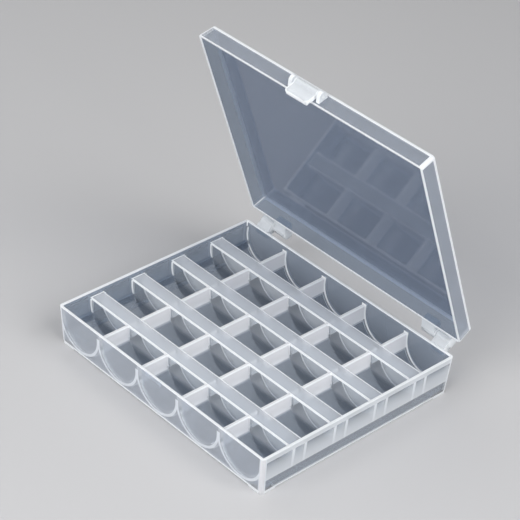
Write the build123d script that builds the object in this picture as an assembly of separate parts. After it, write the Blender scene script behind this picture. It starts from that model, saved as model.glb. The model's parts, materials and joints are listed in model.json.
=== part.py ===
"""A clear bobbin storage box: a tray of 25 pockets, a lid standing open on two hinges, and a pivoting clasp.

The frame is that of the tray: X along the hinges, Y from the front to the hinges, Z up, and the origin in the
middle of the plane on which the feet stand. The lid and clasp are drawn closed, then swung to the open pose.
"""

import os

from build123d import *

# Pockets: each takes a sewing machine bobbin lying on its rim, 20.5 mm across and 11.5 mm wide
columns = 5
rows = 5
trough_radius = 11.15
straight_side = 1.7
web_width = 1.62
pocket_length = 14.15
end_pocket_length = 13.72
divider_width = 7.2
skin = 1.2
web_root_depth = 6.4
end_ledge = 0.6

# Tray walls, which lean in towards the table
wall_thickness = 1.25
wall_lean = 1.1
rim_rise = 2.6
corner_radius = 1.4
inner_corner_radius = 0.5
trough_floor_gap = 1.65

# Feet, one in each corner
foot_drop = 0.5
foot_length = 7.3
foot_pad_gap = 0.3

# Lid
lid_gap = 0.15
lid_depth = 7.7
lid_skin = 1.2
lid_lean = 0.6
lid_edge_bevel = 0.4
lid_open_angle = 69.6

# Hinges: the tray's knuckle is the outer one of each pair
hinge_end_margin = 5.6
hinge_stand_off = 4.65
hinge_rise = 1.0
knuckle_radius = 2.4
knuckle_length = 7.5
knuckle_gap = 0.3
knuckle_edge_bevel = 0.3
arm_length = 6.8
tray_arm_height = 3.3
lid_arm_height = 3.55
arm_foot_thickness = 1.15
pin_radius = 1.0
pin_reach = 4.0
pin_end_gap = 0.2
pin_point = 0.3
running_clearance = 0.05

# Clasp: a flap that turns between two ears on the lid's front wall
clasp_offset = -1.8
flap_width = 12.6
flap_thickness = 1.3
flap_reach = 6.9
flap_barrel_radius = 1.45
flap_corner_radius = 2.3
flap_flare = 0.35
flap_flare_length = 2.4
clasp_stand_off = 1.45
clasp_rise = 3.7
ear_width = 1.7
ear_side_gap = 0.55
ear_radius = 1.9
ear_root_height = 4.7
clasp_pin_radius = 0.7
clasp_pin_recess = 0.2
hook_radius = 0.5
hook_rise = 0.75
hook_side_gap = 0.1
catch_width = 10.0
catch_height = 1.5
catch_tip_height = 0.4
catch_depth = 0.42
catch_gap = 0.2

# Places that follow from the sizes above
column_pitch = 2 * trough_radius + web_width
row_pitch = pocket_length + divider_width
outer_trough_radius = trough_radius + skin
trough_centre_level = trough_floor_gap + outer_trough_radius
deck_level = trough_centre_level + straight_side
tray_height = deck_level + rim_rise
lean_at_deck = wall_lean * rim_rise / tray_height
end_margin = wall_thickness + lean_at_deck
box_length = columns * column_pitch - web_width + 2 * (end_ledge + end_margin)
middle_rows = rows - 2
box_width = (rows - 1) * divider_width + middle_rows * pocket_length + 2 * (end_pocket_length + end_margin)
column_places = [(i - (columns - 1) / 2) * column_pitch for i in range(columns)]
divider_places = [(i - (rows - 2) / 2) * row_pitch for i in range(rows - 1)]
lid_rim_level = tray_height + lid_gap
lid_top_level = lid_rim_level + lid_depth
hinge_y = box_width / 2 + hinge_stand_off
hinge_z = tray_height + hinge_rise
hinge_outer_x = box_length / 2 - hinge_end_margin
knuckle_split_x = hinge_outer_x - knuckle_length
clasp_y = -(box_width / 2 + clasp_stand_off)
clasp_z = lid_rim_level + clasp_rise
flap_tip_z = clasp_z - flap_reach
hook_z = flap_tip_z + hook_rise
catch_z = hook_z + hook_radius + catch_gap
catch_root_y = -(box_width / 2 - wall_lean * (tray_height - catch_z) / tray_height)
catch_tip_y = catch_root_y - catch_depth


def along_x(sketch, start, end):
    """Solid of a section drawn in Y and Z, from one X to another."""
    return extrude(Plane.YZ.offset(start) * sketch, end - start)


def along_y(sketch, start, end):
    """Solid of a section drawn in X and Z, from one Y to another."""
    return extrude(Plane.XZ.offset(-start) * sketch, start - end)


def slope_profile(low_length, high_length, low, high):
    """Outline from the side of a block whose ends lean, between two levels."""
    low_corners = [(-low_length / 2, low), (low_length / 2, low)]
    high_corners = [(high_length / 2, high), (-high_length / 2, high)]
    return Polygon(*low_corners, *high_corners, align=None)


def leaning_block(inset, low, high, low_lean, high_lean, radius):
    """The box's outline as a block between two levels, drawn in by inset and by a lean at each level."""
    low_inset = 2 * (inset + low_lean)
    high_inset = 2 * (inset + high_lean)
    front_view = slope_profile(box_length - low_inset, box_length - high_inset, low, high)
    side_view = slope_profile(box_width - low_inset, box_width - high_inset, low, high)
    front_prism = along_y(front_view, -box_width / 2, box_width / 2)
    side_prism = along_x(side_view, -box_length / 2, box_length / 2)
    block = front_prism & side_prism
    upright_edges = block.edges().filter_by(Plane.XY, reverse=True)
    return fillet(upright_edges, radius)


def tray_block(inset, radius):
    """The tray's outline as a solid from the table to the rim, drawn in by inset on every side."""
    return leaning_block(inset, 0, tray_height, wall_lean, 0, radius)


def lid_block(inset, radius):
    """The closed lid's outline as a solid up from its rim, drawn in by inset on every side but the lowest."""
    lean_at_top = lid_lean * (lid_depth - inset) / lid_depth
    return leaning_block(inset, lid_rim_level, lid_top_level - inset, 0, lean_at_top, radius)


def hull_profile(*shapes):
    """Convex outline round some sketches."""
    edges = [edge for shape in shapes for edge in shape.edges()]
    return make_hull(edges)


def opened(shape):
    """Swing a shape of the closed lid to the pose in which the lid stands open."""
    axis = Axis((0, hinge_y, hinge_z), (-1, 0, 0))
    return shape.rotate(axis, lid_open_angle)


# Tray


def trough_profile(radius):
    """All the columns' U shapes of one radius, in X and Z, open at the deck."""
    profile = Sketch()
    for place in column_places:
        profile += Pos(place, trough_centre_level) * Circle(radius)
        profile += Pos(place, trough_centre_level + straight_side / 2) * Rectangle(2 * radius, straight_side)
    return profile & Pos(0, deck_level / 2) * Rectangle(box_length, deck_level)


def cradle_outline():
    """Outline of the troughs' skin, the webs between the troughs and the deck that joins them."""
    outline = trough_profile(outer_trough_radius)
    outline += Pos(0, deck_level - skin / 2) * Rectangle(box_length, skin)
    web_middle = deck_level - web_root_depth / 2
    for place in column_places[1:]:
        outline += Pos(place - column_pitch / 2, web_middle) * Rectangle(web_width, web_root_depth)
    return outline


def tray_walls(outer, inner):
    """The four leaning walls, open above and below."""
    below = Box(box_length, box_width, foot_drop, align=(Align.CENTER, Align.CENTER, Align.MIN))
    return outer - inner - below


def row_edges(row):
    """Front and back of one row of pockets; the end rows run on into the walls."""
    front = divider_places[row - 1] + divider_width / 2 if row > 0 else -box_width / 2
    back = divider_places[row] - divider_width / 2 if row < rows - 1 else box_width / 2
    return front, back


def bobbin_cradle(row, outline, troughs, inner):
    """One row of pockets: a wavy skin of troughs with a wall across each end, open below the webs."""
    front, back = row_edges(row)
    block = along_y(outline, front - skin, back + skin)
    pockets = along_y(troughs, front, back)
    return (block - pockets) & inner


def divider_cap(place, inner):
    """The strip of deck that joins the end walls of two rows, with the hollow of the divider below it."""
    half_width = divider_width / 2 - skin
    section = Pos(0, deck_level - skin / 2) * Rectangle(box_length, skin)
    return along_y(section, place - half_width, place + half_width) & inner


def corner_feet(outer, walls):
    """Four pads that carry the tray, each with a lip under the walls' lower edges."""
    pad_height = trough_floor_gap - foot_pad_gap
    blank_length = foot_length + wall_lean
    blank = Box(blank_length, blank_length, pad_height, align=(Align.MAX, Align.MAX, Align.MIN))
    foot = (Pos(box_length / 2, box_width / 2) * blank & outer) - walls
    back_feet = [foot, mirror(foot, about=Plane.YZ)]
    front_feet = [mirror(back_foot, about=Plane.XZ) for back_foot in back_feet]
    return Compound(children=back_feet + front_feet)


def latch_catch(outer):
    """A ridge on the tray's front wall, sloped above and square below, for the clasp's hook."""
    inside_y = catch_root_y + wall_thickness / 2
    section = Polygon(
        (inside_y, catch_z),
        (inside_y, catch_z + catch_height),
        (catch_root_y, catch_z + catch_height),
        (catch_tip_y, catch_z + catch_tip_height),
        (catch_tip_y, catch_z),
        align=None,
    )
    ridge = along_x(section, clasp_offset - catch_width / 2, clasp_offset + catch_width / 2)
    return ridge - outer


# Hinges


def knuckle_arm(start, low, high, lean):
    """The arm from a wall to its barrel: a foot on the leaning wall, drawn out round the barrel."""
    middle = (low + high) / 2
    foot = Pos(box_width / 2 + arm_foot_thickness / 2, middle) * Rectangle(arm_foot_thickness, high - low)
    behind_foot = Pos(box_width / 2 - lean / 2, middle) * Rectangle(lean, high - low)
    ring = Pos(hinge_y, hinge_z) * Circle(knuckle_radius - knuckle_edge_bevel)
    return along_x(hull_profile(ring, foot) + behind_foot, start, start + arm_length)


def bored_knuckle(arm, start, end, bore_radius, bore_start, bore_end):
    """A barrel on the hinge axis with its arm, and a blind bore for the pin."""
    barrel = along_x(Pos(hinge_y, hinge_z) * Circle(knuckle_radius), start, end)
    barrel = chamfer(barrel.edges().filter_by(GeomType.CIRCLE), knuckle_edge_bevel)
    bore = along_x(Pos(hinge_y, hinge_z) * Circle(bore_radius), bore_start, bore_end)
    return barrel + arm - bore


def tray_hinge_knuckle(outer):
    """The right-hand outer knuckle, on the tray's back wall; its bore holds the pin fast."""
    arm_start = knuckle_split_x + (knuckle_length - arm_length) / 2
    arm = knuckle_arm(arm_start, tray_height - tray_arm_height, tray_height, wall_lean)
    bore_end = knuckle_split_x + pin_reach
    return bored_knuckle(arm, knuckle_split_x, hinge_outer_x, pin_radius, knuckle_split_x, bore_end) - outer


def lid_hinge_knuckle(outer):
    """The right-hand inner knuckle, on the closed lid's back wall; it turns on the pin."""
    end = knuckle_split_x - knuckle_gap
    start = end - knuckle_length
    arm = knuckle_arm(start, lid_rim_level, lid_rim_level + lid_arm_height, lid_lean)
    bore_start = end - pin_reach - pin_end_gap
    return bored_knuckle(arm, start, end, pin_radius + running_clearance, bore_start, end) - outer


def hinge_pin():
    """The right-hand pin: fast in the tray's knuckle, turning in the lid's."""
    start = knuckle_split_x - knuckle_gap - pin_reach
    end = knuckle_split_x + pin_reach
    pin = along_x(Pos(hinge_y, hinge_z) * Circle(pin_radius), start, end)
    return chamfer(pin.edges().group_by(Axis.X)[0], pin_point)


# Lid and clasp


def lid_shell(outer):
    """A shallow plate with a low skirt, drawn closed."""
    shell = chamfer(outer.edges().group_by(Axis.Z)[-1], lid_edge_bevel)
    return shell - lid_block(lid_skin, inner_corner_radius)


def clasp_ear(side, outer):
    """One of the two round ears that carry the flap."""
    start = clasp_offset + side * (flap_width / 2 + ear_side_gap)
    end = start + side * ear_width
    ring = Pos(clasp_y, clasp_z) * Circle(ear_radius)
    root_y = lid_lean - box_width / 2
    root_z = clasp_z + ear_radius - ear_root_height / 2
    root = Pos(root_y, root_z) * Rectangle(lid_skin / 2, ear_root_height)
    bore = Pos(clasp_y, clasp_z) * Circle(clasp_pin_radius + running_clearance)
    section = hull_profile(ring, root) - bore
    return along_x(section, min(start, end), max(start, end)) - outer


def flap_section():
    """The flap from the side: a barrel, a blade that flares out at its tip, and a rounded hook inside."""
    half = flap_thickness / 2
    bend_z = flap_tip_z + flap_flare_length
    tip_y = clasp_y - flap_flare
    barrel = Pos(clasp_y, clasp_z) * Circle(flap_barrel_radius)
    blade = Polygon(
        (clasp_y - half, clasp_z),
        (clasp_y - half, bend_z),
        (tip_y - half, flap_tip_z + half),
        (tip_y + half, flap_tip_z + half),
        (clasp_y + half, bend_z),
        (clasp_y + half, clasp_z),
        align=None,
    )
    tip = Pos(tip_y, flap_tip_z + half) * Circle(half)
    hook_end = Pos(catch_tip_y - hook_side_gap - hook_radius, hook_z) * Circle(hook_radius)
    hook_root = Pos(tip_y, hook_z) * Circle(hook_radius)
    return barrel + blade + tip + hull_profile(hook_end, hook_root)


def latch_flap():
    """The flap with the stub pins that turn in the ears, drawn closed."""
    start = clasp_offset - flap_width / 2
    end = clasp_offset + flap_width / 2
    body = along_x(flap_section(), start, end)
    top = clasp_z + flap_barrel_radius
    height = top - flap_tip_z
    outline = Pos(clasp_offset, top - height / 2) * Rectangle(flap_width, height)
    outline = fillet(outline.vertices().group_by(Axis.Y)[0], flap_corner_radius)
    body = body & along_y(outline, clasp_y - 2 * flap_barrel_radius, clasp_y + 2 * flap_barrel_radius)
    pin_length = ear_side_gap + ear_width - clasp_pin_recess
    pin_section = Pos(clasp_y, clasp_z) * Circle(clasp_pin_radius)
    return body + along_x(pin_section, start - pin_length, end + pin_length)


def build_parts():
    """Every node by name, in the open pose."""
    outer = tray_block(0, corner_radius)
    inner = tray_block(wall_thickness, inner_corner_radius)
    outline = cradle_outline()
    troughs = trough_profile(trough_radius)
    walls = tray_walls(outer, inner)
    parts = {"tray_wall": walls, "corner_feet": corner_feet(outer, walls), "latch_catch": latch_catch(outer)}
    for row in range(rows):
        parts[f"bobbin_cradle_row_{row + 1}"] = bobbin_cradle(row, outline, troughs, inner)
    for number, place in enumerate(divider_places, start=1):
        parts[f"divider_cap_{number}"] = divider_cap(place, inner)

    lid_outer = lid_block(0, corner_radius)
    parts["lid_shell"] = opened(lid_shell(lid_outer))
    parts["latch_ear_left"] = opened(clasp_ear(-1, lid_outer))
    parts["latch_ear_right"] = opened(clasp_ear(1, lid_outer))
    parts["latch_flap"] = opened(latch_flap())

    right_side = {
        "tray_hinge_knuckle": tray_hinge_knuckle(outer),
        "hinge_pin": hinge_pin(),
        "lid_hinge_knuckle": opened(lid_hinge_knuckle(lid_outer)),
    }
    for name, shape in right_side.items():
        parts[f"{name}_right"] = shape
        parts[f"{name}_left"] = mirror(shape, about=Plane.YZ)
    return parts


os.makedirs("parts", exist_ok=True)
for name, shape in build_parts().items():
    export_step(shape, f"parts/{name}.step")
print(f"closed box {box_length:.2f} x {box_width:.2f} x {lid_top_level:.2f} mm, deck at {deck_level:.2f}")
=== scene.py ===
import json
import math

import bmesh
import bpy
from mathutils import Matrix, Quaternion, Vector


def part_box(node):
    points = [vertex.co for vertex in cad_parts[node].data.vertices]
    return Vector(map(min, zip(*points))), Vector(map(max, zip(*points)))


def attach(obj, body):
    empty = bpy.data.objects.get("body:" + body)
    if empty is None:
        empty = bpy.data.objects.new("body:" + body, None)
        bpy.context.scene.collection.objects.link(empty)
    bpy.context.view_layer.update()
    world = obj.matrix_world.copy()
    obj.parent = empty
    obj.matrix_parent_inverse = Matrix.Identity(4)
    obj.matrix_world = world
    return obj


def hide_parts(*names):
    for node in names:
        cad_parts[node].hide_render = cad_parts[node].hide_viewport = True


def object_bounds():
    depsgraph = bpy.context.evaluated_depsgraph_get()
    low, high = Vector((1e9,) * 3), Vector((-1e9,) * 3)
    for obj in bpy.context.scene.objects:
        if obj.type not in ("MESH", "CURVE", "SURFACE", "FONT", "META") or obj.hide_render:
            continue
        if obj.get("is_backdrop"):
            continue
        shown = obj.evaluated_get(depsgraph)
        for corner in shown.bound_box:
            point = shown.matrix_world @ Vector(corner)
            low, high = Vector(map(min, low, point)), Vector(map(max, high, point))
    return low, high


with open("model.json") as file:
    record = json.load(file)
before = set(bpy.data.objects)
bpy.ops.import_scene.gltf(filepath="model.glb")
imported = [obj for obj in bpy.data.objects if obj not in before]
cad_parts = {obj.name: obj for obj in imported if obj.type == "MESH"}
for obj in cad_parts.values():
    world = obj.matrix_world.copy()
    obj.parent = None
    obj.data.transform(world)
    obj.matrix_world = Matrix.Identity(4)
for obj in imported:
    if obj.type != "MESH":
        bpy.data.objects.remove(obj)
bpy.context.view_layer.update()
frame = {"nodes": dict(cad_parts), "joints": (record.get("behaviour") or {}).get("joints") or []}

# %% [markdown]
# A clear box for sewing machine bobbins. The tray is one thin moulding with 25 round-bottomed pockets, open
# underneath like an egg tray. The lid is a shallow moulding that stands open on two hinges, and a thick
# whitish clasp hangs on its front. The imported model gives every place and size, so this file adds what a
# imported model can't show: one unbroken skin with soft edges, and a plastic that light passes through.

MM = 0.001

# %% [markdown]
# The camera comes first. It stands to the front right of the box and looks down on it with a long lens, so
# the edges stay nearly parallel. It was turned until the corners of the tray and lid fell where the
# photograph has them.

# %% Camera
CAMERA_PLACE = Vector((0.47296, -0.46277, 0.51266))
CAMERA_DIRECTION = Vector((-0.58661, 0.57415, -0.57118))
CAMERA_ROLL = math.radians(3.93)
SENSOR_WIDTH = 36
LENS_LENGTH = 144.4

camera = bpy.data.objects.new("camera", bpy.data.cameras.new("camera"))
bpy.context.scene.collection.objects.link(camera)
camera.location = CAMERA_PLACE
camera.rotation_mode = "QUATERNION"
camera.rotation_quaternion = CAMERA_DIRECTION.to_track_quat("-Z", "Y") @ Quaternion((0, 0, 1), CAMERA_ROLL)
camera.data.sensor_width = SENSOR_WIDTH
camera.data.lens = LENS_LENGTH
bpy.context.scene.camera = camera
print("camera:", round(CAMERA_PLACE.length / MM), "mm from the middle of the box's underside")

# %% [markdown]
# Every shape below starts as a plain solid and is then cut, as a toolmaker cuts a mould. The first helpers
# add a solid at its place, copy it and join it to others.

# %% Helpers that add solids
BAR_SIDES = 64


def alone(obj):
    """Makes one object the only selected one, and the active one."""
    bpy.ops.object.select_all(action="DESELECT")
    obj.select_set(True)
    bpy.context.view_layer.objects.active = obj
    return obj


def settled(obj):
    """Puts an object's place, turn and size into its mesh."""
    alone(obj)
    bpy.ops.object.transform_apply(location=True, rotation=True, scale=True)
    return obj


def add_block(name, low, high):
    """A box between two corners."""
    low, high = Vector(low), Vector(high)
    bpy.ops.object.select_all(action="DESELECT")
    bpy.ops.mesh.primitive_cube_add(size=1, location=(low + high) / 2, scale=high - low)
    block = bpy.context.object
    block.name = name
    return settled(block)


def add_bar(name, radius, start, end):
    """A round bar along Y, from a point to another place on the same line."""
    start = Vector(start)
    middle = Vector((start.x, (start.y + end) / 2, start.z))
    turn = (math.pi / 2, 0, 0)
    bpy.ops.object.select_all(action="DESELECT")
    bpy.ops.mesh.primitive_cylinder_add(
        vertices=BAR_SIDES, radius=radius, depth=abs(end - start.y), location=middle, rotation=turn
    )
    bar = bpy.context.object
    bar.name = name
    return settled(bar)


def copied(obj, offset):
    """A copy with a mesh of its own, moved by an offset."""
    alone(obj)
    bpy.ops.object.duplicate(linked=False)
    copy = bpy.context.object
    copy.location = offset
    return settled(copy)


def joined(name, parts):
    """Several separate solids as one object."""
    bpy.ops.object.select_all(action="DESELECT")
    for part in parts:
        part.select_set(True)
    bpy.context.view_layer.objects.active = parts[0]
    bpy.ops.object.join()
    parts[0].name = name
    return parts[0]


# %% [markdown]
# The other helpers choose faces or edges by where they lie or face, and cut one solid with another. A face
# counts as square to an axis when nearly all of its normal lies along it, and as upright when nearly none
# of its normal points up or down.

# %% Helpers that choose and cut
SQUARE = 0.9
UPRIGHT = 0.2
TOLERANCE = 0.1 * MM
HAIR = 0.01 * MM


def edit(obj, kind="FACE"):
    """Opens an object for editing its faces or edges, with nothing chosen, and returns its mesh."""
    alone(obj)
    bpy.ops.object.mode_set(mode="EDIT")
    bpy.ops.mesh.select_mode(type=kind)
    bpy.ops.mesh.select_all(action="DESELECT")
    return bmesh.from_edit_mesh(obj.data)


def choose(mesh, items, test):
    """Selects the edges or faces that pass a test."""
    for item in items:
        if test(item):
            item.select_set(True)
    mesh.select_flush_mode()
    bmesh.update_edit_mesh(bpy.context.object.data)


def close():
    """Ends editing."""
    bpy.ops.object.mode_set(mode="OBJECT")


def outward(middle, normal):
    """Whether a face looks away from the middle of the box."""
    return normal.xy.dot(middle.xy) > 0


def combine(obj, tools, operation):
    """Cuts, joins or limits one solid by others, and removes the others."""
    for tool in tools:
        alone(obj)
        modifier = obj.modifiers.new("tool", "BOOLEAN")
        modifier.operation = operation
        modifier.solver = "EXACT"
        modifier.object = tool
        bpy.ops.object.modifier_apply(modifier="tool")
        bpy.data.objects.remove(tool, do_unlink=True)


# %% [markdown]
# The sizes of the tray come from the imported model: the outline from its walls, the length of the pockets
# from a row of them, and the skin from the deck over a divider. Only a few sizes of the moulding itself,
# such as the radius of the troughs, are written here.

# %% Sizes of the tray
wall_low, wall_high = (Vector(corner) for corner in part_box("tray_wall"))
deck_low, deck_high = (Vector(corner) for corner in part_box("divider_cap_1"))
row_low, row_high = (Vector(corner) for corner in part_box("bobbin_cradle_row_3"))
RIM_LEVEL = wall_high.z
DECK_LEVEL = deck_high.z
SKIN = DECK_LEVEL - deck_low.z
WALL = 1.25 * MM
WALL_LEAN = 1.1 * MM
CORNER_RADIUS = 1.4 * MM
CORNER_STEPS = 5
COLUMNS, ROWS = 5, 5
WEB = 1.62 * MM
WEB_ROOT_LEVEL = DECK_LEVEL - 6.4 * MM
TROUGH_RADIUS = 11.15 * MM
TROUGH_LEVEL = row_low.z + SKIN + TROUGH_RADIUS
COLUMN_PITCH = 2 * TROUGH_RADIUS + WEB
POCKET_LENGTH = row_high.y - row_low.y - 2 * SKIN
DIVIDER = 7.2 * MM
ROW_PITCH = POCKET_LENGTH + DIVIDER
FOOT_DROP = wall_low.z  # how far the walls end above the floor between the feet
FOOT_LENGTH = 7.3 * MM
FOOT_HEIGHT = 1.35 * MM
BEYOND = 3 * MM  # how far a cutting solid runs past what it cuts
print(f"pockets {COLUMN_PITCH / MM:.2f} by {ROW_PITCH / MM:.2f} mm apart, {POCKET_LENGTH / MM:.2f} mm long")

# %% [markdown]
# A block with leaning sides stands for the outside of the tray, and a smaller one for the space inside its
# walls. A cube is scaled at its upper face for the lean. The outside's upright edges are rounded with a
# bevel while it is still a simple shape, because a bevel is cleanest before anything is cut. The inside
# keeps sharp corners here, and gets its small roundings with all the other edges at the end.

# %% Leaning blocks
LEAST_RISE = 1 * MM  # an edge that climbs more than this is an upright one


def tray_half(level, inset=0):
    """Half the tray's length and width at a level, drawn in by an inset."""
    lean = WALL_LEAN * (1 - level / RIM_LEVEL) + inset
    return Vector((wall_high.x - lean, wall_high.y - lean))


def add_leaning_block(name, half_size, low, high):
    """A block between two levels, with its half size given for each level."""
    start, end = half_size(low), half_size(high)
    block = add_block(name, (-start.x, -start.y, low), (start.x, start.y, high))
    mesh = edit(block)
    choose(mesh, mesh.faces, lambda face: face.normal.z > SQUARE)
    bpy.ops.transform.resize(value=(end.x / start.x, end.y / start.y, 1), center_override=(0, 0, high))
    close()
    return block


def round_corners(block):
    """Rounds a block's four upright edges."""
    mesh = edit(block, "EDGE")
    choose(mesh, mesh.edges, lambda edge: abs(edge.verts[0].co.z - edge.verts[1].co.z) > LEAST_RISE)
    bpy.ops.mesh.bevel(offset=CORNER_RADIUS, segments=CORNER_STEPS, affect="EDGES")
    close()
    return block


def add_inside(low, high):
    """The space inside the tray's walls, between two levels."""
    return add_leaning_block("inside", lambda level: tray_half(level, WALL), low, high)


tray = round_corners(add_leaning_block("tray_moulding", tray_half, 0, RIM_LEVEL))
print("tray's block:", [round(size / MM, 2) for size in tray.dimensions])

# %% [markdown]
# The upper half of the mould is the space over the deck and the 25 pockets. One pocket is a round bar with
# its upper half cut away, drawn up past the rim. It is copied to every place, the copies are joined, and
# the lot is limited to the space inside the walls, so that the end pockets finish on the walls.

# %% Upper half of the mould
column_places = [(i - (COLUMNS - 1) / 2) * COLUMN_PITCH for i in range(COLUMNS)]
divider_places = [(i - (ROWS - 2) / 2) * ROW_PITCH for i in range(ROWS - 1)]


def add_trough(name, radius, start, end, top):
    """A round-bottomed bar along Y: a cylinder cut at its middle and drawn straight up."""
    bar = add_bar(name, radius, (0, start, TROUGH_LEVEL), end)
    edit(bar)
    bpy.ops.mesh.select_all(action="SELECT")
    bpy.ops.mesh.bisect(
        plane_co=(0, 0, TROUGH_LEVEL), plane_no=(0, 0, 1), use_fill=True, clear_outer=True
    )
    bpy.ops.mesh.select_all(action="DESELECT")
    mesh = bmesh.from_edit_mesh(bar.data)
    choose(mesh, mesh.faces, lambda face: face.normal.z > SQUARE)
    bpy.ops.mesh.extrude_region_move(TRANSFORM_OT_translate={"value": (0, 0, top - TROUGH_LEVEL)})
    close()
    return bar


def row_span(row):
    """Front and back of a row of pockets; the end rows run on past the walls."""
    front = divider_places[row - 1] + DIVIDER / 2 if row > 0 else wall_low.y - BEYOND
    back = divider_places[row] - DIVIDER / 2 if row < ROWS - 1 else wall_high.y + BEYOND
    return front, back


upper = add_block(
    "upper_mould",
    (wall_low.x - BEYOND, wall_low.y - BEYOND, DECK_LEVEL),
    (wall_high.x + BEYOND, wall_high.y + BEYOND, RIM_LEVEL + BEYOND),
)
pockets = []
for row in range(ROWS):
    front, back = row_span(row)
    pocket = add_trough("pocket", TROUGH_RADIUS, front, back, DECK_LEVEL + BEYOND / 2)
    pockets += [copied(pocket, (place, 0, 0)) for place in column_places]
    bpy.data.objects.remove(pocket, do_unlink=True)
print("pockets:", len(pockets))
combine(upper, [joined("pockets", pockets)], "UNION")
combine(upper, [add_inside(-BEYOND, RIM_LEVEL + 2 * BEYOND)], "INTERSECT")
combine(tray, [upper], "DIFFERENCE")

# %% [markdown]
# The lower half of the mould fills the hollow underneath: all the space below the deck, less the wavy skin
# of the troughs, and with a narrow core up inside each divider. The solid webs between the troughs run on
# through the dividers as ribs, so they are cut from the mould after the cores have been added.

# %% Lower half of the mould
under_deck = DECK_LEVEL - SKIN
lower = add_block(
    "lower_mould",
    (wall_low.x - BEYOND, wall_low.y - BEYOND, -BEYOND),
    (wall_high.x + BEYOND, wall_high.y + BEYOND, under_deck),
)
skins, webs, cores = [], [], []
front, back = wall_low.y - 2 * BEYOND, wall_high.y + 2 * BEYOND
for place in column_places:
    trough = add_trough("skin", TROUGH_RADIUS + SKIN, front, back, DECK_LEVEL + BEYOND)
    trough.location.x = place
    skins.append(settled(trough))
for place in column_places[1:]:
    middle = place - COLUMN_PITCH / 2
    low = (middle - WEB / 2, front, WEB_ROOT_LEVEL)
    high = (middle + WEB / 2, back, DECK_LEVEL + BEYOND)
    webs.append(add_block("web", low, high))
for place in divider_places:
    half = DIVIDER / 2 - SKIN
    low = (wall_low.x - BEYOND / 2, place - half, -BEYOND / 2)
    high = (wall_high.x + BEYOND / 2, place + half, under_deck)
    cores.append(add_block("core", low, high))
combine(lower, skins, "DIFFERENCE")
combine(lower, cores, "UNION")
combine(lower, webs, "DIFFERENCE")
combine(lower, [add_inside(-2 * BEYOND, RIM_LEVEL)], "INTERSECT")
print("lower mould's faces:", len(lower.data.polygons))

# %% [markdown]
# Space for a pad is cut from each corner of the lower mould, so that a foot is left standing there. Then the
# mould is cut from the tray. Last, the walls between the feet are cut off a little above the floor, so that
# the box stands on its feet.

# %% Feet
ACROSS = 1  # a metre, so that the two gaps run right through the box
foot_edge = Vector((wall_high.x - WALL_LEAN - FOOT_LENGTH, wall_high.y - WALL_LEAN - FOOT_LENGTH))
pads = []
for side_x in (-1, 1):
    for side_y in (-1, 1):
        xs = sorted((side_x * foot_edge.x, side_x * (wall_high.x + BEYOND)))
        ys = sorted((side_y * foot_edge.y, side_y * (wall_high.y + BEYOND)))
        pads.append(add_block("pad", (xs[0], ys[0], -3 * BEYOND), (xs[1], ys[1], FOOT_HEIGHT)))
combine(lower, [joined("pads", pads)], "DIFFERENCE")
combine(tray, [lower], "DIFFERENCE")
gaps = [
    add_block("gap", (-foot_edge.x, -ACROSS, -BEYOND), (foot_edge.x, ACROSS, FOOT_DROP)),
    add_block("gap", (-ACROSS, -foot_edge.y, -BEYOND), (ACROSS, foot_edge.y, FOOT_DROP)),
]
combine(tray, gaps, "DIFFERENCE")
print("tray's faces after cutting:", len(tray.data.polygons))

# %% [markdown]
# The lid is drawn closed, as it leaves its mould, and swung open at the end. It is another leaning block.
# Its upper edge is rounded while the block is whole. Then the lower face is inset by the thickness of the
# skirt and pushed up, which leaves a plate with a low wall round it.

# %% Lid
LID_RIM = RIM_LEVEL + 0.15 * MM
LID_DEPTH = 7.7 * MM
LID_TOP = LID_RIM + LID_DEPTH
LID_SKIN = 1.2 * MM
LID_LEAN = 0.6 * MM
LID_EDGE = 0.7 * MM
LID_EDGE_STEPS = 4


def lid_half(level):
    """Half the closed lid's length and width at a level."""
    lean = LID_LEAN * (level - LID_RIM) / LID_DEPTH
    return Vector((wall_high.x - lean, wall_high.y - lean))


lid = round_corners(add_leaning_block("lid_moulding", lid_half, LID_RIM, LID_TOP))
mesh = edit(lid, "EDGE")
choose(mesh, mesh.edges, lambda edge: all(v.co.z > LID_TOP - TOLERANCE for v in edge.verts))
bpy.ops.mesh.bevel(offset=LID_EDGE, segments=LID_EDGE_STEPS, affect="EDGES")
close()
mesh = edit(lid)
choose(mesh, mesh.faces, lambda face: face.normal.z < -SQUARE)
bpy.ops.mesh.inset(thickness=LID_SKIN, use_boundary=True)
hollow = LID_DEPTH - LID_SKIN
bpy.ops.mesh.extrude_region_move(TRANSFORM_OT_translate={"value": (0, 0, hollow)})
inner = lid_half(LID_RIM)
lean = LID_LEAN * hollow / LID_DEPTH
taper = (1 - lean / (inner.x - LID_SKIN), 1 - lean / (inner.y - LID_SKIN), 1)
bpy.ops.transform.resize(value=taper, center_override=(0, 0, LID_RIM + hollow))
close()
print("lid's faces:", len(lid.data.polygons))

# %% [markdown]
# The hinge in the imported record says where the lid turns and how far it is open. The same turn is used for
# everything that is drawn on the closed lid.

# %% Swinging open
lid_hinge = next(joint for joint in frame["joints"] if joint["name"] == "lid_hinge")
hinge_place = Vector(lid_hinge["pos_m"])
shut_angle = lid_hinge["range_deg"][0]
swing = Matrix.Rotation(math.radians(-shut_angle), 4, Vector(lid_hinge["axis"]))
print("the lid stands open by", round(-shut_angle, 1), "degrees")


def swung_open(obj):
    """Turns something drawn on the closed lid to the open lid."""
    obj.matrix_world = Matrix.Translation(hinge_place) @ swing @ Matrix.Translation(-hinge_place)
    return settled(obj)


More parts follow.
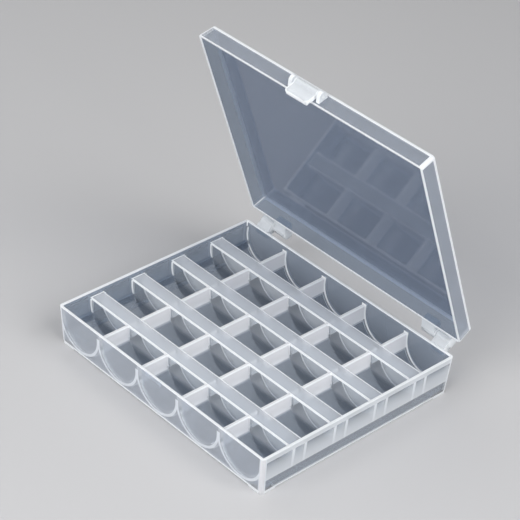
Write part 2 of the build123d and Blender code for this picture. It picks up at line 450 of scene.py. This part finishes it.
# %% [markdown]
# Moulded edges are never sharp. A narrow bevel goes on every edge that turns by more than 30 degrees, and its
# faces take the second material, a whiter one that paints in the light which leaves clear plastic at its
# edges and makes them bright.
# The cuts leave some points nearly on each other, and those are merged first. The cuts also leave their
# points, edges and faces in an order that changes from run to run, so these are sorted by place before the
# merging, and every run gives the same mesh. Where a face is too narrow for two roundings, its edges get
# less bevel weight. Weighted normals then keep the broad faces flat, so that only the narrow edges look
# round.

# %% Soft bright edges
SHARP_TURN = math.radians(30)
SMOOTH_TURN = math.radians(40)
MERGED_WITHIN = 0.05 * MM
EDGE_STEPS = 2
SORT_LINE = (1, 1.37, 0.73)  # a direction along which no two points of the box fall together


def along_line(point):
    """How far along the sorting line a point lies."""
    return sum(part * share for part, share in zip(point, SORT_LINE))


def put_in_order(mesh):
    """Sorts the points, edges and faces of a mesh that is being edited by their places."""
    mesh.verts.sort(key=lambda vert: along_line(vert.co))
    mesh.edges.sort(key=lambda edge: along_line(edge.verts[0].co + edge.verts[1].co))
    mesh.faces.sort(key=lambda face: along_line(face.calc_center_median()))
    for items in (mesh.verts, mesh.edges, mesh.faces):
        items.index_update()
    bmesh.update_edit_mesh(bpy.context.object.data)


def soften(obj, width, room):
    """Rounds each sharp edge by the share of the width that it has room for, in the second material."""
    put_in_order(edit(obj, "VERT"))
    bpy.ops.mesh.select_all(action="SELECT")
    bpy.ops.mesh.remove_doubles(threshold=MERGED_WITHIN)
    close()
    mesh = edit(obj, "EDGE")
    weight = mesh.edges.layers.float.new("bevel_weight_edge")
    for edge in mesh.edges:
        if edge.is_manifold and edge.calc_face_angle() > SHARP_TURN:
            edge[weight] = room(edge)
    close()
    modifier = obj.modifiers.new("soft edges", "BEVEL")
    modifier.width = width
    modifier.segments = EDGE_STEPS
    modifier.limit_method = "WEIGHT"
    modifier.use_clamp_overlap = False
    # the second material is the whiter one, which paints in the light that leaves the plastic at its edges
    modifier.material = 1
    bpy.ops.object.modifier_apply(modifier="soft edges")
    bpy.ops.object.shade_smooth_by_angle(angle=SMOOTH_TURN)
    modifier = obj.modifiers.new("flat faces", "WEIGHTED_NORMAL")
    modifier.keep_sharp = True
    bpy.ops.object.modifier_apply(modifier="flat faces")
    print(obj.name, "has", len(obj.data.polygons), "faces")


# %% [markdown]
# The plastics are made of shader nodes. This small class keeps each node to one line. Patterns are placed by
# the object's own coordinates, so they stay where they are when the lid or the camera moves.

# %% A short way to place nodes
class Nodes:
    """A new material and a short way to fill it."""

    def __init__(self, name):
        self.material = bpy.data.materials.new(name)
        self.material.use_nodes = True
        self.tree = self.material.node_tree
        self.tree.nodes.clear()

    def add(self, kind, inputs=(), **settings):
        """A node whose inputs take numbers, colours or other nodes' outputs; returns it."""
        node = self.tree.nodes.new("ShaderNode" + kind)
        for key, value in settings.items():
            setattr(node, key, value)
        for key, value in dict(inputs).items():
            if isinstance(value, bpy.types.NodeSocket):
                self.tree.links.new(value, node.inputs[key])
            else:
                node.inputs[key].default_value = value
        return node

    def math(self, operation, first, second):
        """The output of one sum with two numbers."""
        return self.add("Math", {0: first, 1: second}, operation=operation).outputs[0]

    def apart(self, first, second):
        """How far two numbers are apart."""
        return self.math("ABSOLUTE", self.math("SUBTRACT", first, second), 0)

    def rise(self, value, start, end):
        """0 at the start and 1 at the end of a range, with a soft change between them."""
        span = {"Value": value, "From Min": start, "From Max": end}
        return self.add("MapRange", span, interpolation_type="SMOOTHSTEP").outputs[0]

    def place(self):
        """The object's own X, Y and Z at the spot that is shaded."""
        return self.add("SeparateXYZ", {0: self.add("TexCoord").outputs["Object"]}).outputs

    def shader(self, kind, **inputs):
        """The output of one shader, with its inputs by name and _ for each space."""
        return self.add(kind, {key.replace("_", " "): value for key, value in inputs.items()}).outputs[0]

    def mix(self, share, first, second):
        """A mix of two shaders, with the share of the second."""
        return self.add("MixShader", {0: share, 1: first, 2: second}).outputs[0]

    def end(self, shader):
        """Sends a shader to the surface, and returns the material."""
        self.add("OutputMaterial", {"Surface": shader})
        return self.material


# %% [markdown]
# In real plastic the milk adds up over depth, so a wall looks whiter where more plastic stands close behind
# it. A thin surface can't do that. So patterns in the outer walls say where something stands behind them:
# the skins of the troughs behind the front and back, the ends of the pockets behind the left and right, and
# the next wall in a narrow band at each corner. They are drawn from the sizes that the shapes have.

# %% What stands behind a wall
TROUGH_SHOWS = 6.7 * MM  # the lowest level at which the last trough is seen behind the left or right wall
CORNER_SHOWS = 1.9 * MM  # how wide the next wall looks at a corner
BLUR_IN, BLUR_OUT, WIDE_BLUR = 0.15 * MM, 0.1 * MM, 0.25 * MM
FOOT_BLUR = 0.3 * MM
TROUGH_SHARE = 0.7
LEDGE_SHARE = 0.6


def at_corner(nodes, across, up, half_size):
    """1 in the band beside a corner, which leans with the walls, and 0 elsewhere."""
    lean = nodes.math("MULTIPLY", up, WALL_LEAN / RIM_LEVEL)
    across_foot = nodes.math("SUBTRACT", nodes.math("ABSOLUTE", across, 0), lean)
    return nodes.math("GREATER_THAN", across_foot, half_size - WALL_LEAN - CORNER_SHOWS)


def trough_skins(nodes):
    """1 where a trough's skin or a web stands behind the front or back wall, and 0 elsewhere."""
    place = nodes.place()
    across = nodes.math("PINGPONG", place["X"], COLUMN_PITCH / 2)
    below = nodes.math("MINIMUM", nodes.math("SUBTRACT", place["Z"], TROUGH_LEVEL), 0)
    spot = nodes.add("CombineXYZ", {0: across, 1: below}).outputs[0]
    radius = nodes.add("VectorMath", {0: spot}, operation="LENGTH").outputs["Value"]
    from_skin = nodes.apart(radius, TROUGH_RADIUS + SKIN / 2)
    band = nodes.rise(from_skin, SKIN / 2 + BLUR_OUT, SKIN / 2 - BLUR_IN)
    band = nodes.math("MULTIPLY", band, nodes.math("LESS_THAN", place["Z"], DECK_LEVEL))
    return nodes.math("MAXIMUM", band, at_corner(nodes, place["X"], place["Z"], wall_high.x))


def pocket_walls(nodes):
    """1 where a pocket's end wall stands behind the left or right wall, and less over its trough."""
    place = nodes.place()
    along = nodes.math("PINGPONG", place["Y"], ROW_PITCH / 2)
    from_wall = nodes.apart(along, (POCKET_LENGTH + SKIN) / 2)
    line = nodes.rise(from_wall, SKIN / 2 + WIDE_BLUR, SKIN / 2 - BLUR_IN)
    nearer = {"Value": place["Z"], "From Min": DECK_LEVEL, "From Max": TROUGH_SHOWS, "To Max": TROUGH_SHARE}
    trough = nodes.add("MapRange", nearer).outputs[0]
    over_foot = nodes.rise(place["Z"], TROUGH_SHOWS - FOOT_BLUR, TROUGH_SHOWS + FOOT_BLUR)
    below_deck = nodes.math("LESS_THAN", place["Z"], DECK_LEVEL)
    pocket = nodes.math("MULTIPLY", over_foot, below_deck)
    pocket = nodes.math("MULTIPLY", nodes.math("MAXIMUM", line, trough), pocket)
    ledge = nodes.math("MULTIPLY", nodes.math("SUBTRACT", 1, below_deck), LEDGE_SHARE)
    corner = at_corner(nodes, place["Y"], place["Z"], wall_high.y)
    return nodes.math("MAXIMUM", nodes.math("MAXIMUM", pocket, ledge), corner)


# %% [markdown]
# The front skin of each divider is tinted by a pattern too, which is painted shade. Its upper part has the
# lit back skin behind it, and its lower part has only the shaded hollow behind it, so the painted tint turns
# darker there.

# %% Painted shade on a divider's front
HOLLOW_SHOWS = 7.4 * MM
HOLLOW_BLUR = 1.2 * MM
LIT_TINT = (0.98, 0.985, 0.99, 1)
HOLLOW_SHADE_TINT = (0.6, 0.64, 0.69, 1)
MIX_FIRST, MIX_SECOND, MIX_RESULT = 6, 7, 2  # the places of the two colours and the result in a mix node


def painted_hollow_shade(nodes):
    """A painted shade: a tint that turns darker low down, where only the shaded hollow of a divider lies
    behind the skin.
    """
    height = nodes.place()["Z"]
    share = nodes.rise(height, HOLLOW_SHOWS + HOLLOW_BLUR, HOLLOW_SHOWS - HOLLOW_BLUR)
    tints = {0: share, MIX_FIRST: LIT_TINT, MIX_SECOND: HOLLOW_SHADE_TINT}
    return nodes.add("Mix", tints, data_type="RGBA").outputs[MIX_RESULT]


# %% [markdown]
# All the plastics are one milky clear plastic with different numbers, made of three parts. A diffuse and a
# translucent shader are the milk, lit from in front and from behind. A transparent shader is the clearness.
# A glossy shader is the shine of the surface.
#
# How milky a surface looks follows the way that the light takes: at a slant it passes more plastic. So the
# clear share is what a surface lets through seen square, to the power of one over the cosine. The shine
# grows at a slant too, by the usual rule for plastic, 4% seen square and 100% seen edge on. A fine noise
# makes the surface slightly uneven.

# %% Milky plastic
LEAST_COSINE = 0.1
SQUARE_SHINE = 0.04
SHINE_POWER = 5
BACKLIT_SHARE = 0.35
HAZE = {"Scale": 160, "Detail": 4}
HAZE_BUMP = {"Strength": 0.05, "Distance": 0.0002}
HAZE_RANGE = {"From Min": 0.35, "From Max": 0.65}
SMOOTHER, ROUGHER = 0.8, 1.25


def milky_plastic(name, colour, tint, passed, roughness, behind=None, depth=0):
    """A milky plastic: passed is the share of light that one surface lets through, seen square.

    The tint is a colour or a pattern of colours. A pattern of what stands behind the surface makes it
    deeper there, by so many times.
    """
    print(f"{name}: one surface lets {passed:.0%} of the light through")
    nodes = Nodes(name)
    colour = (*colour, 1)
    tint = tint(nodes) if callable(tint) else (*tint, 1)
    if behind:
        times = nodes.math("ADD", nodes.math("MULTIPLY", behind(nodes), depth), 1)
        passed = nodes.math("POWER", passed, times)
    slant = nodes.add("LayerWeight", {"Blend": 0.5}).outputs["Facing"]
    cosine = nodes.math("MAXIMUM", nodes.math("SUBTRACT", 1, slant), LEAST_COSINE)
    clear = nodes.math("POWER", passed, nodes.math("DIVIDE", 1, cosine))
    grows = nodes.math("MULTIPLY", nodes.math("POWER", slant, SHINE_POWER), 1 - SQUARE_SHINE)
    shine = nodes.math("ADD", grows, SQUARE_SHINE)

    place = nodes.add("TexCoord").outputs["Object"]
    haze = nodes.add("TexNoise", {"Vector": place, **HAZE}).outputs["Fac"]
    bump = nodes.add("Bump", {"Height": haze, **HAZE_BUMP}).outputs["Normal"]
    ends = {"To Min": roughness * SMOOTHER, "To Max": roughness * ROUGHER}
    rough = nodes.add("MapRange", {"Value": haze, **HAZE_RANGE, **ends}).outputs[0]

    lit_in_front = nodes.shader("BsdfDiffuse", Color=colour, Normal=bump)
    lit_behind = nodes.shader("BsdfTranslucent", Color=colour, Normal=bump)
    milk = nodes.mix(BACKLIT_SHARE, lit_in_front, lit_behind)
    body = nodes.mix(clear, milk, nodes.shader("BsdfTransparent", Color=tint))
    gloss = nodes.shader("BsdfAnisotropic", Roughness=rough, Normal=bump)
    return nodes.end(nodes.mix(shine, body, gloss))


# %% [markdown]
# The walls come first, in a light smoky tint. Of the two with patterns, one is for the tray's front and back
# walls and the other for its left and right walls. The edges and the solid webs pass the least light, so they
# look the whitest; the edges' whiteness is painted light, for the light that leaves clear plastic at its
# edges.

# %% Plastics of the walls, edges and webs
SMOKE = (0.86, 0.885, 0.91)
wall_plastic = milky_plastic(
    "clear wall plastic", colour=(0.8, 0.84, 0.9), tint=SMOKE, passed=0.84, roughness=0.16
)
end_plastic = milky_plastic(
    "end wall plastic", colour=(0.82, 0.85, 0.9), tint=SMOKE, passed=0.82, roughness=0.16,
    behind=trough_skins, depth=3.5,
)
side_plastic = milky_plastic(
    "side wall plastic", colour=(0.86, 0.89, 0.92), tint=SMOKE, passed=0.88, roughness=0.16,
    behind=pocket_walls, depth=8.5,
)
# Painted light: the whiter edge material stands for the light that leaves clear plastic at its edges.
edge_light_plastic = milky_plastic(
    "painted edge light plastic", colour=(0.92, 0.94, 0.96), tint=(1, 1, 1), passed=0.12, roughness=0.2
)
web_plastic = milky_plastic(
    "solid web plastic", colour=(0.9, 0.9, 0.92), tint=SMOKE, passed=0.35, roughness=0.16
)

# %% [markdown]
# The floors of the troughs, the shaded inner walls and the plate of the lid have the darkest tints, because
# they are the darkest parts in the photograph, where no pale floor shines through them. The dark tints of the
# trough floors and of the inner walls are painted shade. The dividers have a clear front skin, a whiter back
# skin, and a milky strip of deck between them.

# %% Plastics of the pockets, dividers and lid
# Painted shade: the trough floors and the inner walls take dark tints that darken what is seen through them.
shaded_trough_plastic = milky_plastic(
    "shaded trough plastic", colour=(0.74, 0.79, 0.84), tint=(0.76, 0.79, 0.83), passed=0.9, roughness=0.12
)
shade_plastic = milky_plastic(
    "shaded wall plastic", colour=(0.6, 0.66, 0.74), tint=(0.5, 0.55, 0.62), passed=0.93, roughness=0.12
)
plate_plastic = milky_plastic(
    "lid plate plastic", colour=(0.54, 0.61, 0.72), tint=(0.47, 0.52, 0.61), passed=0.93, roughness=0.06
)
# The front skin's tint is the painted shade over the divider's hollow.
near_plastic = milky_plastic(
    "front skin plastic", colour=(0.84, 0.87, 0.9), tint=painted_hollow_shade, passed=0.97, roughness=0.12
)
# Painted light: the back skin is a whiter copy of the divider's plastic, and the band where a trough's skin
# meets it, where the plastic is deeper, is made far whiter still for the light that leaves the plastic there.
far_plastic = milky_plastic(
    "back skin plastic", colour=(0.98, 0.99, 1), tint=(0.97, 0.98, 0.99), passed=0.74, roughness=0.16,
    behind=trough_skins, depth=18,
)
strip_plastic = milky_plastic(
    "divider plastic", colour=(0.84, 0.87, 0.91), tint=(0.95, 0.96, 0.98), passed=0.76, roughness=0.16
)
thick_plastic = milky_plastic(
    "thick frosted plastic", colour=(0.82, 0.85, 0.88), tint=(0.95, 0.96, 0.97), passed=0.35, roughness=0.25
)

# %% [markdown]
# Each face gets its material by its place and by the way that it faces. The numbers below are the places
# of the materials in the tray's list, and the first two are the same for every piece.

# %% Helpers for the finishes
CLEAR, EDGE, DEEP, END, SIDE, TROUGH, NEAR, FAR, STRIP, SHADE = range(10)
tray_plastics = (
    wall_plastic, edge_light_plastic, web_plastic, end_plastic, side_plastic,
    shaded_trough_plastic, near_plastic, far_plastic, strip_plastic, shade_plastic,
)
BRIGHT_BAND = 0.8 * MM
FOOT_BAND = 1.1 * MM


def finish(piece, materials, rule):
    """Gives a piece its materials, and each face the one that the rule picks from its middle and normal."""
    piece.data.materials.clear()
    for material in materials:
        piece.data.materials.append(material)
    for face in piece.data.polygons:
        face.material_index = rule(face.center, face.normal)


def dull_edges(piece, rule):
    """Gives back a plainer material to the rounded edges for which the rule names one."""
    dulled = 0
    for face in piece.data.polygons:
        if face.material_index == EDGE and rule(face.center) is not None:
            face.material_index = rule(face.center)
            dulled += 1
    print(piece.name, "has", dulled, "dull edge faces")


def cut_outside(obj, level):
    """Cuts a piece's outer walls along a level, so that the band above or below can have its own finish."""
    mesh = edit(obj)
    choose(mesh, mesh.faces, lambda face: abs(face.normal.z) < UPRIGHT
           and outward(face.calc_center_median(), face.normal))
    bpy.ops.mesh.bisect(plane_co=(0, 0, level), plane_no=(0, 0, 1))
    close()


# %% [markdown]
# Where the plastic is deeper it looks whiter: at the rim, along the walls of the dividers, and over the webs
# between the troughs, which are solid down to their roots. The rim, the band at the foot of the outer walls
# and the bands along the dividers take the whiter edge material, so their whiteness is partly painted light.
# The deck is one flat face, so it is first cut along the lines where the depth changes, and the outer walls
# are cut along a band at their foot.

# %% Lines where the finish changes
web_lines = [
    place - COLUMN_PITCH / 2 + half for place in column_places[1:] for half in (-WEB / 2, WEB / 2)
]
divider_halves = (-DIVIDER / 2, BRIGHT_BAND - DIVIDER / 2, DIVIDER / 2 - BRIGHT_BAND, DIVIDER / 2)
divider_lines = [place + half for place in divider_places for half in divider_halves]
cuts = [((line, 0, 0), (1, 0, 0)) for line in web_lines]
cuts += [((0, line, 0), (0, 1, 0)) for line in divider_lines]
for place, direction in cuts:
    mesh = edit(tray)
    choose(mesh, mesh.faces, lambda face: face.normal.z > SQUARE
           and abs(face.calc_center_median().z - DECK_LEVEL) < HAIR)
    bpy.ops.mesh.bisect(plane_co=place, plane_no=direction)
    close()
cut_outside(tray, FOOT_DROP + FOOT_BAND)
print("lines cut into the deck:", len(cuts))

# %% [markdown]
# The rules for the tray need to know how far a face lies from the nearest web, divider or column of
# troughs, all of which are evenly spaced.

# %% Where a point of the tray lies
LAST_COLUMN = column_places[-1]
LAST_EDGE = LAST_COLUMN + TROUGH_RADIUS


def from_web(point):
    """How far a point is from the middle of the nearest web."""
    return min(abs(point.x - place + COLUMN_PITCH / 2) for place in column_places[1:])


def from_divider(point):
    """How far a point is from the middle of the nearest divider."""
    return min(abs(point.y - place) for place in divider_places)


def from_column(point):
    """How far a point is from the middle line of the nearest column of troughs."""
    return min((point.xz - Vector((place, TROUGH_LEVEL))).length for place in column_places)


def before_divider(point):
    """Whether a point lies before the middle of its divider."""
    return point.y < min(divider_places, key=lambda place: abs(point.y - place))


# %% [markdown]
# The rule for the tray asks of each face in turn whether it lies at the rim or the lower lip, at a corner,
# in the band along the foot, at one of the feet, on the deck, in a trough, or on a web, a divider or a wall.
# A divider's front skin lets the light through and its back skin is a whiter copy of the same plastic, which
# is painted light, and a wall has its pattern only on the outer face.

# %% Finishes of the tray
CORNER_TURN = 0.12  # a face whose normal has more than this along both X and Y is part of a corner
ALONG = 0.1  # a face whose normal has less than this along Y runs along Y
OUTER_BAND = 1.2 * WALL  # the outer faces of the leaning walls lie within this of the rim's outline
INNER_FACE = WALL_LEAN + WALL + TOLERANCE  # how far the walls' inner faces lie inside the rim at most
WEB_SHOWS = 9.6 * MM  # above this level a solid web makes the side of a trough whiter
WEB_REACH = 2.2 * MM
LAST_SIDE = LAST_COLUMN + 2 * MM  # beyond this the last trough's own side begins


def deck_rule(middle):
    """The finish of one face of the deck."""
    if DIVIDER / 2 - BRIGHT_BAND < from_divider(middle) < DIVIDER / 2:
        return EDGE
    if from_divider(middle) < DIVIDER / 2:
        return STRIP
    if abs(middle.x) > LAST_EDGE:
        return SHADE
    return DEEP if from_web(middle) < WEB / 2 else CLEAR


def trough_rule(middle):
    """The finish of one inner face of a trough."""
    if abs(middle.x) > LAST_SIDE:
        return SHADE if middle.z > TROUGH_SHOWS else CLEAR
    return DEEP if middle.z > WEB_SHOWS and from_web(middle) < WEB_REACH else TROUGH


def tray_rule(middle, normal):
    """The finish of one face of the tray."""
    flat = abs(normal.z) > SQUARE
    at_lip = abs(middle.z - FOOT_DROP) < TOLERANCE
    at_outline = abs(middle.x) > wall_high.x - OUTER_BAND or abs(middle.y) > wall_high.y - OUTER_BAND
    over_pad = abs(middle.x) > foot_edge.x - TOLERANCE and abs(middle.y) > foot_edge.y - TOLERANCE
    in_trough = from_divider(middle) > DIVIDER / 2 and from_column(middle) < TROUGH_RADIUS + SKIN / 2
    at_foot = outward(middle, normal) and at_outline and middle.z < FOOT_DROP + FOOT_BAND
    if flat and (middle.z > RIM_LEVEL - HAIR or at_lip):
        return EDGE
    if abs(normal.x) > CORNER_TURN and abs(normal.y) > CORNER_TURN:
        return DEEP
    if abs(normal.z) < UPRIGHT and at_foot:
        return EDGE
    if over_pad and middle.z < FOOT_HEIGHT + TOLERANCE:
        return DEEP if middle.z > TOLERANCE else CLEAR
    if normal.z > SQUARE and abs(middle.z - DECK_LEVEL) < HAIR:
        return deck_rule(middle)
    if abs(normal.y) < ALONG and in_trough:
        return trough_rule(middle)
    if abs(normal.x) > SQUARE and from_web(middle) < WEB / 2 + TOLERANCE:
        return EDGE if from_divider(middle) < DIVIDER / 2 else DEEP
    if abs(normal.y) > SQUARE and from_divider(middle) < DIVIDER / 2 + TOLERANCE:
        return NEAR if before_divider(middle) else FAR
    if abs(normal.y) > SQUARE and abs(middle.y) > wall_high.y - INNER_FACE:
        return END if normal.y * middle.y > 0 else SHADE
    if abs(normal.x) > SQUARE and abs(middle.x) > wall_high.x - INNER_FACE:
        return SIDE if normal.x * middle.x > 0 else SHADE
    return CLEAR


# %% [markdown]
# Then the edges are rounded. They have room for the full width except in three narrow places. Not all of
# them shine: the photograph shows no white line along the ledge beside the last trough, nor where a trough
# meets the front of a divider, so those edges get the finish of the faces beside them.

# %% Edges of the tray
TRAY_ROUNDING = 0.45 * MM
WEDGE_WIDTH, WEDGE_TOP = 2 * MM, 10 * MM
EDGE_REACH, LEDGE_REACH = 0.6 * MM, 0.7 * MM  # how far a rounding reaches from the corner that it rounds
DIVIDER_MIDDLE = 0.5 * MM  # a divider's skins have no edges within this of its middle
FOOT_MARGIN, DECK_MARGIN = 0.4 * MM, 0.9 * MM  # edges this near to the foot or the deck stay bright
WEB_CORNER = 1.5 * MM  # edges within this of a web's middle are the corners of the web


def tray_room(edge):
    """How much of the full rounding an edge of the tray has room for."""
    points = [v.co for v in edge.verts]
    wedge = LAST_EDGE - WEDGE_WIDTH
    if all(wedge < abs(p.x) < tray_half(p.z).x - WALL / 2 and p.z < WEDGE_TOP for p in points):
        return 0  # the wedge under the last trough, where its skin runs into the wall
    if all(p.z < FOOT_DROP + TOLERANCE for p in points):
        return 0.5  # the feet's lips
    if all(abs(p.z - DECK_LEVEL) < TOLERANCE and abs(p.x) > LAST_EDGE - TOLERANCE for p in points):
        return 0.5  # the ledge beside the last trough
    return 1


def tray_dull(spot):
    """The finish of a rounded edge that doesn't shine, and none for the others."""
    on_ledge = LAST_EDGE - EDGE_REACH < abs(spot.x) < wall_high.x - WALL - TOLERANCE
    at_deck = abs(spot.z - DECK_LEVEL) < LEDGE_REACH
    if on_ledge and at_deck and from_divider(spot) > DIVIDER / 2 + EDGE_REACH:
        return SHADE
    if not before_divider(spot) or not DIVIDER_MIDDLE < from_divider(spot) < DIVIDER / 2 + EDGE_REACH:
        return None
    top = WEB_SHOWS if abs(spot.x) > LAST_COLUMN + TROUGH_RADIUS / 2 else DECK_LEVEL - DECK_MARGIN
    if not FOOT_DROP + FOOT_MARGIN < spot.z < top:
        return None
    return DEEP if from_web(spot) < WEB_CORNER and spot.z > WEB_ROOT_LEVEL else NEAR


finish(tray, tray_plastics, tray_rule)
soften(tray, TRAY_ROUNDING, tray_room)
dull_edges(tray, tray_dull)

# %% [markdown]
# The lid is whiter at its rim, at its corners and in a band round its plate, with the painted edge light. Its
# plate is a darker clear plastic, and the inner faces of its skirt have the painted shade of the inner walls.
# When all its faces have their finish, it is swung open.

# %% Finishes and edges of the lid
PLATE, LID_SHADE = 2, 3
LID_ROUNDING = 0.3 * MM
LID_CORNER_REACH, PLATE_REACH = 1 * MM, 0.5 * MM
EDGE_TURNS = (0.2, 0.95)  # how far up the faces look that round the edge of the plate
plate_edge = LID_TOP - LID_EDGE - BRIGHT_BAND


def lid_rule(middle, normal):
    """The finish of one face of the closed lid."""
    rim = normal.z < -SQUARE and middle.z < LID_RIM + HAIR
    rounding = EDGE_TURNS[0] < normal.z < EDGE_TURNS[1]
    corner = abs(normal.x) > CORNER_TURN and abs(normal.y) > CORNER_TURN
    beside_plate = abs(normal.z) < UPRIGHT and middle.z > plate_edge and outward(middle, normal)
    if rim or rounding or corner or beside_plate:
        return EDGE
    if abs(normal.z) > SQUARE:
        return PLATE
    return CLEAR if outward(middle, normal) else LID_SHADE


def lid_room(edge):
    """The small corners inside the lid have room for half the rounding."""
    return 0.5 if all(v.co.z > plate_edge - LID_CORNER_REACH for v in edge.verts) else 1


def lid_dull(spot):
    """The edge inside the lid, between its skirt and its plate, looks like the plate."""
    inside = abs(spot.x) < wall_high.x - LID_SKIN and abs(spot.y) < wall_high.y - LID_SKIN
    return PLATE if inside and spot.z > LID_TOP - LID_SKIN - PLATE_REACH else None


cut_outside(lid, plate_edge)
finish(lid, (wall_plastic, edge_light_plastic, plate_plastic, shade_plastic), lid_rule)
soften(lid, LID_ROUNDING, lid_room)
dull_edges(lid, lid_dull)
swung_open(lid)

# %% [markdown]
# The knuckles, ears, catch and clasp already have their exact shapes in the imported model, so each is a copy
# of that mesh. The loose triangles are merged and flat ones joined into whole faces. Their edges are too
# small for a bevel, but they get the painted edge light too: the ends of the knuckles, the round outline of
# the ears, and a narrow band along the outline of the clasp, which is cut into its faces as the deck's lines
# were.

# %% Small parts with bright edges
FLAT_TURN = math.radians(1)
ROUND_TURN = math.radians(35)
KNUCKLE_END = 0.4
EAR_SIDE = 0.5


def bright_copy(node, body, rule, cuts=(), plastic=thick_plastic):
    """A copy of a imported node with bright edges, which takes the node's place."""
    source = frame["nodes"][node]
    piece = bpy.data.objects.new(node + "_bright", source.data.copy())
    bpy.context.scene.collection.objects.link(piece)
    edit(piece, "VERT")
    bpy.ops.mesh.select_all(action="SELECT")
    bpy.ops.mesh.remove_doubles(threshold=HAIR)
    bpy.ops.mesh.dissolve_limited(angle_limit=FLAT_TURN)
    for place, direction in cuts:
        bpy.ops.mesh.select_all(action="SELECT")
        bpy.ops.mesh.bisect(plane_co=place, plane_no=direction)
    close()
    finish(piece, (plastic, edge_light_plastic), rule)
    alone(piece)
    bpy.ops.object.shade_smooth_by_angle(angle=ROUND_TURN)
    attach(piece, body)
    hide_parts(node)
    print(piece.name, "has", len(piece.data.polygons), "faces")


def knuckle_rule(middle, normal):
    """The ends of a knuckle and their chamfers are bright."""
    return EDGE if abs(normal.x) > KNUCKLE_END else CLEAR


def ear_rule(middle, normal):
    """The round outline of an ear is bright."""
    return EDGE if abs(normal.x) < EAR_SIDE else CLEAR


for side in ("left", "right"):
    bright_copy(f"tray_hinge_knuckle_{side}", "tray", knuckle_rule)
    bright_copy(f"lid_hinge_knuckle_{side}", "lid", knuckle_rule)
    bright_copy(f"latch_ear_{side}", "lid", ear_rule)
bright_copy("latch_catch", "tray", lambda middle, normal: CLEAR, (), wall_plastic)

# %% [markdown]
# The clasp's outline has five straight lines: two sides, two slants across its round lower corners, and the
# bottom. Each is a place on the line and the direction out of the flap, first drawn hanging from the pivot
# with the lid closed and then swung open. The bright band ends a little inside them. The pins of the hinges
# stay as they are packed, in the same thick plastic.

# %% Clasp and pins
clasp_joint = next(joint for joint in frame["joints"] if joint["name"] == "clasp_pivot")
clasp_place = Vector(clasp_joint["pos_m"])
FLAP_HALF_WIDTH = 6.3 * MM
FLAP_REACH = 6.9 * MM
FLAP_CORNER = 2.3 * MM
FLAP_BAND = 0.6 * MM
outline = []
for side in (-1, 1):
    corner = Vector((side * (FLAP_HALF_WIDTH - FLAP_CORNER), 0, FLAP_CORNER - FLAP_REACH))
    outline.append((Vector((side * FLAP_HALF_WIDTH, 0, 0)), Vector((side, 0, 0))))
    slant = Vector((side, 0, -1)).normalized()
    outline.append((corner + slant * FLAP_CORNER, slant))
outline.append((Vector((0, 0, -FLAP_REACH)), Vector((0, 0, -1))))
outline = [(clasp_place + swing @ (place - out * FLAP_BAND), swing @ out) for place, out in outline]


def flap_rule(middle, normal):
    """The band along the flap's outline is bright."""
    return EDGE if any((middle - place).dot(out) > 0 for place, out in outline) else CLEAR


bright_copy("latch_flap", "clasp", flap_rule, outline)
for packed in frame["nodes"].values():
    packed.data.materials.clear()
    packed.data.materials.append(thick_plastic)

# %% [markdown]
# The two mouldings move with the tray and the lid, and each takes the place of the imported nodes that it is
# made around.

# %% Bodies
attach(tray, "tray")
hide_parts("tray_wall", "corner_feet", *[f"bobbin_cradle_row_{i}" for i in range(1, 6)],
            *[f"divider_cap_{i}" for i in range(1, 5)])
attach(lid, "lid")
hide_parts("lid_shell")

# %% [markdown]
# The studio is plain: a pale floor, a large soft lamp at the right, another in front, a weaker one at the
# left, and a faint even light all round. A look through the whole box passes many skins, so light may pass
# more of them than usual before it is lost.

# %% Floor and light
FLOOR_SIZE = 3
FLOOR_COLOUR = (0.47, 0.47, 0.48, 1)
EVEN_LIGHT = 0.28
AIM = Vector((0, 0, 0.03))
MOST_SKINS = 24

bpy.ops.object.select_all(action="DESELECT")
bpy.ops.mesh.primitive_plane_add(size=FLOOR_SIZE)
floor = bpy.context.object
floor.name = "floor"
paint = Nodes("pale floor")
floor.data.materials.append(
    paint.end(paint.shader("BsdfPrincipled", Base_Color=FLOOR_COLOUR, Roughness=0.8))
)
floor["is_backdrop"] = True

world = bpy.data.worlds.new("studio")
bpy.context.scene.world = world
world.use_nodes = True
world.node_tree.nodes["Background"].inputs["Strength"].default_value = EVEN_LIGHT


def add_lamp(name, place, size, energy):
    """A square soft lamp aimed at the box."""
    bpy.ops.object.light_add(type="AREA", location=place)
    lamp = bpy.context.object
    lamp.name = name
    lamp.data.energy = energy
    lamp.data.size = size
    lamp.rotation_euler = (AIM - lamp.location).to_track_quat("-Z", "Y").to_euler()
    print("lamp", name, "of", energy, "watts")


add_lamp("key", (0.95, 0.1, 0.8), 1.0, 16)
add_lamp("front", (0.1, -1.0, 0.6), 1.0, 16)
add_lamp("fill", (-0.8, 0.1, 0.9), 1.2, 5)
bpy.context.scene.view_settings.view_transform = "Standard"
bpy.context.scene.cycles.transparent_max_bounces = MOST_SKINS

# %% [markdown]
# Last, the bounds of the visual model are measured.

low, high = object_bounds()
